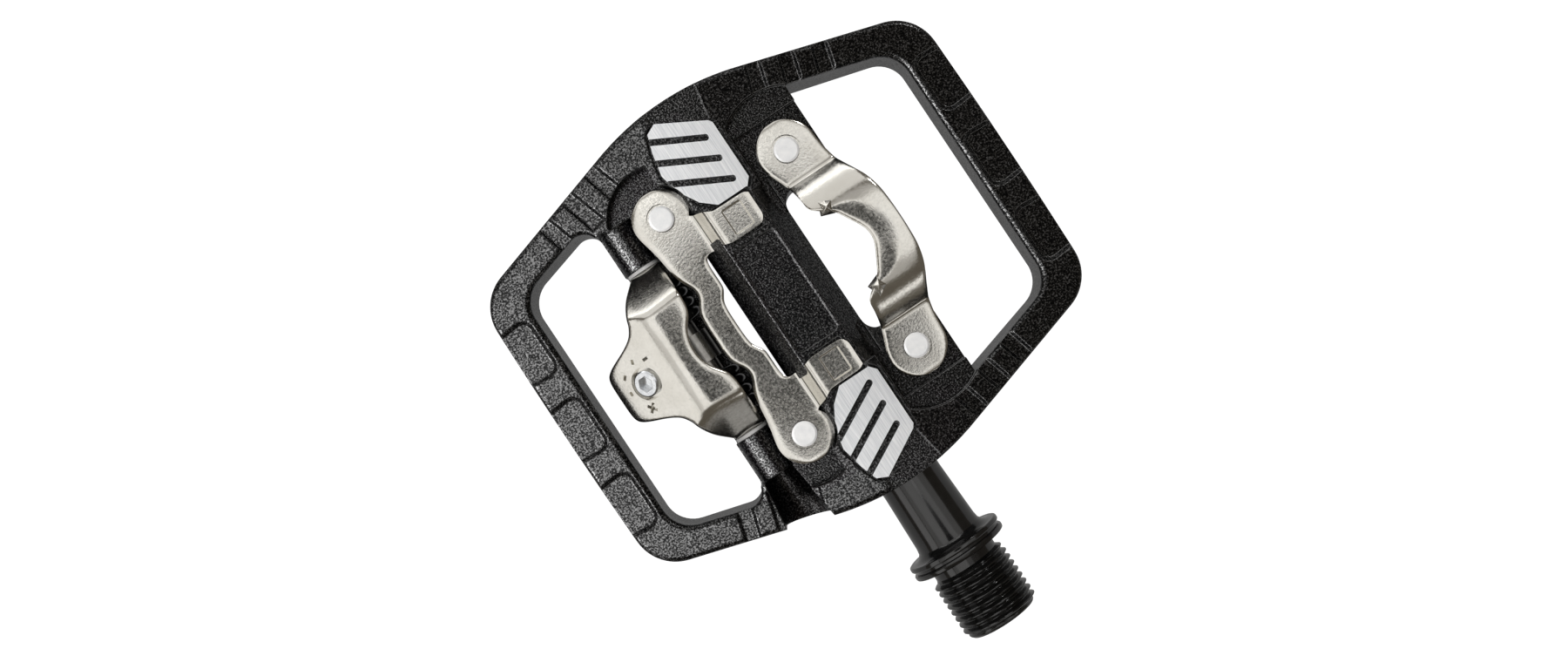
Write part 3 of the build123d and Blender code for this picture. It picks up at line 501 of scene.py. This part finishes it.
ARM_STEPS = [
    # x, z, outer y, inner y of the arm as it is drawn out from the strip
    (-6.4, 5.5, 19.7, 12.5), (-5.9, 5.72, 19.5, 12.45), (-4.7, 8.2, 19.1, 12.3),
    (-4.2, 8.8, 18.8, 12.2), (-3.7, 8.98, 18.5, 12.0), (-2.9, 9.0, 18.1, 11.8),
    (-2.5, 9.0, 18.0, 11.75), (2.8, 9.0, 18.0, 11.75), (3.3, 9.0, 17.9, 12.0),
    (4.0, 8.9, 17.5, 12.9),
]
ARM_ROWS = (9, 10, 11, 12, 13, 14)
ARM_ROOT = (12.6, 20.1)
END_ROLL = 0.25
END_ROLL_START = 26.8
END_ROLL_LENGTH = 0.5
POCKET_X = (-2.4, 2.7)
POCKET_Y = 11.5
POCKET_RIM = 0.7 * MM
POCKET_STEP = 0.25 * MM
POCKET_DEPTH = 0.5 * MM


def draw_arm(piece, side, columns, row_count):
    """Draw one arm out of the strip's right edge step by step, and coin its tab's pocket."""
    bpy.ops.object.mode_set(mode="EDIT")
    bpy.ops.mesh.select_mode(type="VERT")
    mesh = bmesh.from_edit_mesh(piece.data)
    mesh.verts.ensure_lookup_table()
    numbers = [r if side > 0 else row_count - 1 - r for r in ARM_ROWS]
    bpy.ops.mesh.select_all(action="DESELECT")
    for number in numbers:
        mesh.verts[number * columns + columns - 1].select_set(True)
    mesh.select_flush(True)
    for x, z, outer_y, inner_y in ARM_STEPS:
        bpy.ops.mesh.extrude_region_move(TRANSFORM_OT_translate={"value": (0.1 * MM, 0, 0)})
        mesh = bmesh.from_edit_mesh(piece.data)
        row = sorted([v for v in mesh.verts if v.select], key=lambda v: -side * v.co.y)
        for place, vertex in enumerate(row):
            y = outer_y + (inner_y - outer_y) * place / (len(row) - 1)
            vertex.co = Vector((x, side * y, z)) * MM
        bmesh.update_edit_mesh(piece.data)
    bpy.ops.mesh.select_all(action="DESELECT")
    mesh = bmesh.from_edit_mesh(piece.data)
    for face in mesh.faces:
        centre = face.calc_center_median() / MM
        on_tab = POCKET_X[0] < centre.x < POCKET_X[1]
        face.select_set(on_tab and centre.y * side > POCKET_Y)
    bpy.ops.mesh.inset(thickness=POCKET_RIM)
    bpy.ops.mesh.inset(thickness=POCKET_STEP)
    bpy.ops.transform.translate(value=(0, 0, -POCKET_DEPTH))
    bpy.ops.object.mode_set(mode="OBJECT")


plate_rows = []
for y, left, right in PLATE_ROWS:
    end_roll = END_ROLL * max(0.0, (y - END_ROLL_START) / END_ROLL_LENGTH) ** 2
    # the right edge isn't rolled where an arm grows out of it
    far_edge = 9.0 if ARM_ROOT[0] < y < ARM_ROOT[1] else 1.0
    plate_rows.append([(left + (right - left) * column, y,
                        PLATE_TOP - end_roll - rolled(column, far_edge))
                       for column in PLATE_COLUMNS])
plate = draw_sheet("cleat_plate_skin", mirrored(plate_rows))
face_up(plate)
for side in (1, -1):
    draw_arm(plate, side, len(PLATE_COLUMNS), 2 * len(PLATE_ROWS) - 1)
press(plate, SHEET, 0.3 * MM)
for side in (1, -1):
    spot_face(plate, PLATE_RIVET_X, side * PLATE_RIVET_Y, RIVET_SEAT_RADIUS, RIVET_SEAT_FLOOR)
bpy.ops.object.shade_smooth_by_angle(angle=math.radians(40))
plate.data.materials.append(nickel)
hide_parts("cleat_plate")
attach(plate, "platform")

# --- Release claw ------------------------------------------------------------------------
# Sprung rear jaw, deep-drawn from sheet: a flat middle that falls back into the screw's tab,
# sloping shoulders, and two ears that drop to the pin.
TAB_TILT = math.radians(32)
TAB_SLOPE = math.tan(TAB_TILT)
CREST_X = -22.4
CREST_Z = 10.5
LIP_Z = 9.9
CLAW_COLUMNS = [
    # y, front x, rear x, height kept for the ears
    (0.0, -18.5, -34.1, 20), (1.8, -18.3, -34.1, 20), (3.3, -17.7, -34.05, 20),
    (4.4, -17.0, -33.8, 20), (5.2, -16.3, -33.0, 20), (6.0, -15.8, -31.2, 20),
    (6.9, -15.5, -28.7, 20), (8.0, -15.35, -26.8, 20), (8.8, -15.3, -26.2, 20),
    (9.4, -15.3, -25.8, 20), (10.0, -15.3, -25.5, 20), (10.8, -15.3, -25.3, 20),
    (12.2, -15.3, -24.7, 20), (13.8, -15.4, -23.8, 20), (15.2, -15.6, -22.4, 20),
    (16.0, -15.75, -21.6, 20), (16.4, -15.85, -21.35, 3.1), (16.6, -15.9, -21.3, 2.4),
    (16.6, -15.6, -21.4, 0.6), (16.6, -15.6, -21.4, -1.2), (16.6, -16.3, -20.7, -2.6),
    (16.6, -17.5, -19.5, -3.3),
]
CLAW_ROWS = (0.0, 0.05, 0.16, 0.45, 0.72, 0.88, 1.0, 1.10, 1.24, 1.5, 1.75, 1.9, 1.96, 2.0)
LIP_X = -15.3
LIFT = 0.3
CREST_SHARE = 0.35
CREST_FOLD = 1.4
SHOULDER_Y = 9.7
SHOULDER_SLOPE = 1.06
SHOULDER_LIFT = 0.15
SHOULDER_FOLD = 1.0
CLAW_EDGE_ROLL = 0.3


def blend_low(first, second, soft):
    """Lower of two heights, with the fold between them rounded."""
    near = max(soft - abs(first - second), 0.0) / soft
    return min(first, second) - near * near * soft / 4


def claw_point(column, row):
    """One point of the claw: it rises to a rounded crest, falls at the tab's slope, and its
    shoulders slope away on both sides."""
    y, front, rear, highest = column
    crest = max(CREST_X, rear + CREST_SHARE * (front - rear))
    x = front + (crest - front) * row if row <= 1 else crest + (rear - crest) * (row - 1)
    rise = LIP_Z + LIFT + (CREST_Z - LIP_Z) * (LIP_X - x) / (LIP_X - CREST_X)
    fall = CREST_Z + LIFT - TAB_SLOPE * (CREST_X - x)
    shoulder = CREST_Z + SHOULDER_LIFT - SHOULDER_SLOPE * (y - SHOULDER_Y)
    top = blend_low(blend_low(rise, fall, CREST_FOLD), shoulder, SHOULDER_FOLD)
    return (x, y, min(top, highest) - rolled(row, 2.0, CLAW_EDGE_ROLL))


claw_rows = [[claw_point(column, row) for row in CLAW_ROWS] for column in reversed(CLAW_COLUMNS)]
claw = draw_sheet("claw_skin", mirrored(claw_rows))
press(claw, SHEET, 0.3 * MM)

# The screw's seat is spot-faced into the tab, with a plain minus and plus stamped beside it.
SOCKET_SEAT_RADIUS = 3.0 * MM
SCREW_HOLE_RADIUS = 2.05 * MM
SCREW_FACE = Vector((-28.4, 0, CREST_Z - TAB_SLOPE * 6.0)) * MM
SCREW_FRAME = Matrix.Translation(SCREW_FACE) @ Matrix.Rotation(-TAB_TILT, 4, "Y")


def cutter(shape, place, spin=0.0, **sizes):
    """Tool set on the tab's face; it sinks into the metal where it is placed."""
    if shape == "drill":
        bpy.ops.mesh.primitive_cylinder_add(vertices=48, **sizes)
    else:
        bpy.ops.mesh.primitive_cube_add(**sizes)
    tool = bpy.context.object
    bpy.ops.object.transform_apply()
    tool.data.transform(Matrix.Rotation(spin, 4, "Z"))
    tool.data.transform(Matrix.Translation(Vector(place) * MM))
    tool.data.transform(SCREW_FRAME)
    return tool


cut(claw, cutter("drill", (0, 0, 4.3), radius=SOCKET_SEAT_RADIUS, depth=10 * MM))
cut(claw, cutter("drill", (0, 0, 0), radius=SCREW_HOLE_RADIUS, depth=12 * MM))
# place on the tab, turn and length of each stamped stroke
MARKS = [((3.0, 3.6, 0.2), 0.0, 1.9), ((0.0, 4.4, 0.2), 1.2, 0.9), ((-3.2, 2.9, 0.2), 0.8, 1.0),
         ((-3.9, 0.0, 0.2), 1.57, 0.8), ((-1.8, -4.0, 0.2), 0.75, 2.0),
         ((-1.8, -4.0, 0.2), 2.32, 2.0)]
for place, spin, length in MARKS:
    bar = cutter("bar", place, spin, size=1.0 * MM, scale=(length, 0.55, 1.4))
    cut(claw, bar)
bpy.ops.object.shade_smooth_by_angle(angle=math.radians(35))
claw.data.materials.append(nickel)
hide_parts("release_claw")
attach(claw, "claw")

# --- Axle --------------------------------------------------------------------------------
# Forged steel, black and glossy, with a flange against the crank and a left-hand thread of
# 20 turns to the inch.  It is drawn ring by ring from the lock-nut end to the crank end.
THREAD_PITCH = 1.27
THREAD_DEPTH = 0.74
THREAD_RADIUS = 7.14
THREAD_BLANK = 7.0
THREAD_LEAST = 6.5
THREAD_FLANK = 2.6
THREAD_FLAT = 0.12
RUNOUT_LEAD = 0.2
RUNOUT_LENGTH = 0.9
RUNOUT_SINK = 0.06
CHAMFER_LENGTH = 1.0
CHAMFER_SLOPE = 0.95
THREAD_START = -57.0
THREAD_END = -68.2995
RING_SLACK = 0.01
AXLE_RINGS = [
    # y, radius
    (31.0, 2.6), (30.6, 3.0), (16.5, 3.0), (16.5, 3.9), (16.2, 4.2), (-23.1, 5.0), (-36.25, 5.0),
    (-36.5, 5.65), (-40.0, 5.65), (-50.0, 5.95), (-51.1, 6.12), (-51.7, 6.6), (-52.05, 7.2),
    (-52.2, 8.0), (-52.2, 8.6), (-52.32, 8.82), (-52.55, 8.9), (-52.95, 8.9), (-53.15, 8.75),
    (-53.3, 8.3), (-53.7, 8.3), (-53.85, 8.75), (-54.05, 8.9), (-54.45, 8.9), (-54.68, 8.82),
    (-54.8, 8.6), (-54.8, 6.3), (-55.0, 6.05), (-56.6, 6.05),
]
THREAD_RINGS = 112
RING_POINTS = 96
SOCKET_ACROSS_FLATS = 8.0


def turned_bar(name, rings):
    """Bar drawn out along -Y from a disc, one ring at a time."""
    bpy.ops.object.select_all(action="DESELECT")
    first_y, first_radius = rings[0]
    bpy.ops.mesh.primitive_circle_add(vertices=RING_POINTS, radius=first_radius * MM,
                                      fill_type="TRIFAN", location=(0, first_y * MM, 0),
                                      rotation=(math.pi / 2, 0, 0))
    piece = bpy.context.object
    piece.name = name
    bpy.ops.object.transform_apply()
    bpy.ops.object.mode_set(mode="EDIT")
    bpy.ops.mesh.select_mode(type="EDGE")
    bpy.ops.mesh.select_all(action="SELECT")
    bpy.ops.mesh.region_to_loop()
    for (y, radius), (next_y, next_radius) in zip(rings, rings[1:]):
        bpy.ops.mesh.extrude_region_move(
            TRANSFORM_OT_translate={"value": (0, (next_y - y) * MM, 0)})
        grow = next_radius / radius
        bpy.ops.transform.resize(value=(grow, 1, grow), center_override=(0, next_y * MM, 0))
    bpy.ops.mesh.edge_face_add()
    bpy.ops.mesh.select_all(action="SELECT")
    bpy.ops.mesh.normals_make_consistent(inside=False)
    bpy.ops.object.mode_set(mode="OBJECT")
    return piece


def thread_radius(y, angle):
    """Radius of the left-hand thread: flat-topped V grooves that fade at both ends."""
    turn = (y / THREAD_PITCH - angle / (2 * math.pi)) % 1.0
    height = min(1.0, max(0.0, THREAD_FLANK * abs(turn - 0.5) - THREAD_FLAT))
    start = min(1.0, max(0.0, (THREAD_START + RUNOUT_LEAD - y) / RUNOUT_LENGTH))
    chamfer = max(0.0, (THREAD_END + CHAMFER_LENGTH - y)) * CHAMFER_SLOPE
    crest = THREAD_RADIUS - chamfer
    root = THREAD_RADIUS - THREAD_DEPTH
    cut_radius = root + (crest - root) * height if crest > root else crest
    return min(crest, cut_radius) * (1 - RUNOUT_SINK * (1 - start))


thread_rings = []
for step in range(THREAD_RINGS + 1):
    y = THREAD_START + (THREAD_END - THREAD_START) * step / THREAD_RINGS
    thread_rings.append((y, THREAD_BLANK))
axle = turned_bar("axle_skin", AXLE_RINGS + thread_rings + [(THREAD_END, 6.0)])
for vertex in axle.data.vertices:
    y = vertex.co.y / MM
    radius = math.hypot(vertex.co.x, vertex.co.z) / MM
    threaded = THREAD_END - RING_SLACK <= y <= THREAD_START + RING_SLACK
    if threaded and radius > THREAD_LEAST:
        angle = math.atan2(vertex.co.z, vertex.co.x)
        grow = thread_radius(y, angle) / radius
        vertex.co.x *= grow
        vertex.co.z *= grow
bpy.ops.object.select_all(action="DESELECT")
bpy.ops.mesh.primitive_cylinder_add(vertices=6, depth=18 * MM,
                                    radius=SOCKET_ACROSS_FLATS / math.sqrt(3) * MM,
                                    location=(0, THREAD_END * MM, 0),
                                    rotation=(math.pi / 2, 0, 0))
hexagon = bpy.context.object
bpy.ops.object.transform_apply()
cut(axle, hexagon)
bpy.ops.object.shade_smooth_by_angle(angle=math.radians(28))


def gloss_black():
    """Smooth black electrophoretic coat over steel, slightly orange-peeled."""
    material, tree, shader = new_material("gloss_black_coat")
    peel = noise(tree, 700.0, 2.0)
    tree.links.new(ramp(tree, peel, 0.3, 0.7, (0.004, 0.004, 0.004), (0.009, 0.009, 0.009)),
                   shader.inputs["Base Color"])
    shader.inputs["Roughness"].default_value = 0.16
    shader.inputs["Coat Weight"].default_value = 0.5
    shader.inputs["Coat Roughness"].default_value = 0.08
    relief(tree, shader, peel, 0.12, 0.02 * MM)
    return material


gloss = gloss_black()
axle.data.materials.append(gloss)
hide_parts("axle")
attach(axle, "spindle")

# --- Springs -----------------------------------------------------------------------------
# Two torsion springs with black oxide wire, coiled about the pin between platform and claw.
# Each is a smooth copy of its drawn shape and stays as drawn; it doesn't wind up.
COIL_WELD = 0.002 * MM


def wound_spring(node):
    """Smooth, welded and coated copy of a spring that sits between the platform and the claw."""
    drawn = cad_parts[node]
    spring = bpy.data.objects.new(node + "_skin", drawn.data.copy())
    bpy.context.scene.collection.objects.link(spring)
    spring.matrix_world = drawn.matrix_world
    bpy.ops.object.select_all(action="DESELECT")
    spring.select_set(True)
    bpy.context.view_layer.objects.active = spring
    bpy.ops.object.mode_set(mode="EDIT")
    bpy.ops.mesh.select_all(action="SELECT")
    bpy.ops.mesh.remove_doubles(threshold=COIL_WELD)
    bpy.ops.object.mode_set(mode="OBJECT")
    bpy.ops.object.shade_smooth_by_angle(angle=math.radians(40))
    spring.data.materials.clear()
    spring.data.materials.append(gloss)
    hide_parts(node)
    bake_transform(spring)


wound_spring("outboard_spring")
wound_spring("inboard_spring")

# --- Pin, rivets and screw ---------------------------------------------------------------
# Ground pin and spacer, bright rivets and a zinc-plated screw keep their exact shapes and get
# their finishes here, with the bearings, nuts, seals and cap that sit inside the barrel.


def worked_steel(name, dark, light, rough, scale=900.0, metal=1.0):
    """Bare or plated steel with a fine turned or tumbled grain."""
    material, tree, shader = new_material(name)
    grain = noise(tree, scale, 3.0)
    tree.links.new(ramp(tree, grain, 0.3, 0.7, dark, light), shader.inputs["Base Color"])
    shader.inputs["Metallic"].default_value = metal
    shader.inputs["Roughness"].default_value = rough
    relief(tree, shader, grain, 0.2, 0.015 * MM, 0.12 * MM)
    return material


rivet_steel = worked_steel("rivet_steel", (0.86, 0.87, 0.88), (0.96, 0.96, 0.96), 0.45, metal=0.1)
zinc = worked_steel("bright_zinc", (0.70, 0.72, 0.75), (0.88, 0.90, 0.92), 0.25)
ground = worked_steel("ground_steel", (0.30, 0.29, 0.27), (0.42, 0.41, 0.39), 0.28)
ball_steel = worked_steel("bearing_steel", (0.55, 0.55, 0.55), (0.70, 0.70, 0.70), 0.15)


def moulded(name, dark, light, rough):
    """Plain moulded plastic or rubber with a faint mould grain."""
    material, tree, shader = new_material(name)
    grain = noise(tree, 1200.0, 2.0)
    tree.links.new(ramp(tree, grain, 0.3, 0.7, dark, light), shader.inputs["Base Color"])
    shader.inputs["Roughness"].default_value = rough
    relief(tree, shader, grain, 0.3, 0.03 * MM)
    return material


cage_nylon = moulded("cage_nylon", (0.24, 0.19, 0.11), (0.32, 0.26, 0.16), 0.5)
black_nylon = moulded("black_nylon", (0.010, 0.010, 0.010), (0.020, 0.020, 0.020), 0.45)
black_rubber = moulded("black_rubber", (0.008, 0.008, 0.008), (0.018, 0.018, 0.018), 0.7)

FINISHES = {
    "claw_pin": ground, "claw_pin_washers": rivet_steel, "spring_spacer": ground,
    "cleat_plate_rivets": rivet_steel, "front_hook_rivets": rivet_steel,
    "tension_screw": zinc, "tension_screw_clip": ground, "tension_nut_plate": ground,
    "axle_lock_washer": ground, "axle_lock_nut": ground, "axle_seal": black_rubber,
    "end_cap": black_nylon, "end_cap_o_ring": black_rubber,
    "needle_bearing_cup": ball_steel, "needle_bearing_needles": ball_steel,
    "needle_bearing_cage": cage_nylon,
}
for place in ("inner", "outer"):
    for kind in ("inner_race", "outer_race", "balls", "shields"):
        FINISHES[f"{place}_ball_bearing_{kind}"] = ball_steel
    FINISHES[f"{place}_ball_bearing_cage"] = cage_nylon
for node, finish in FINISHES.items():
    dress(node, finish)
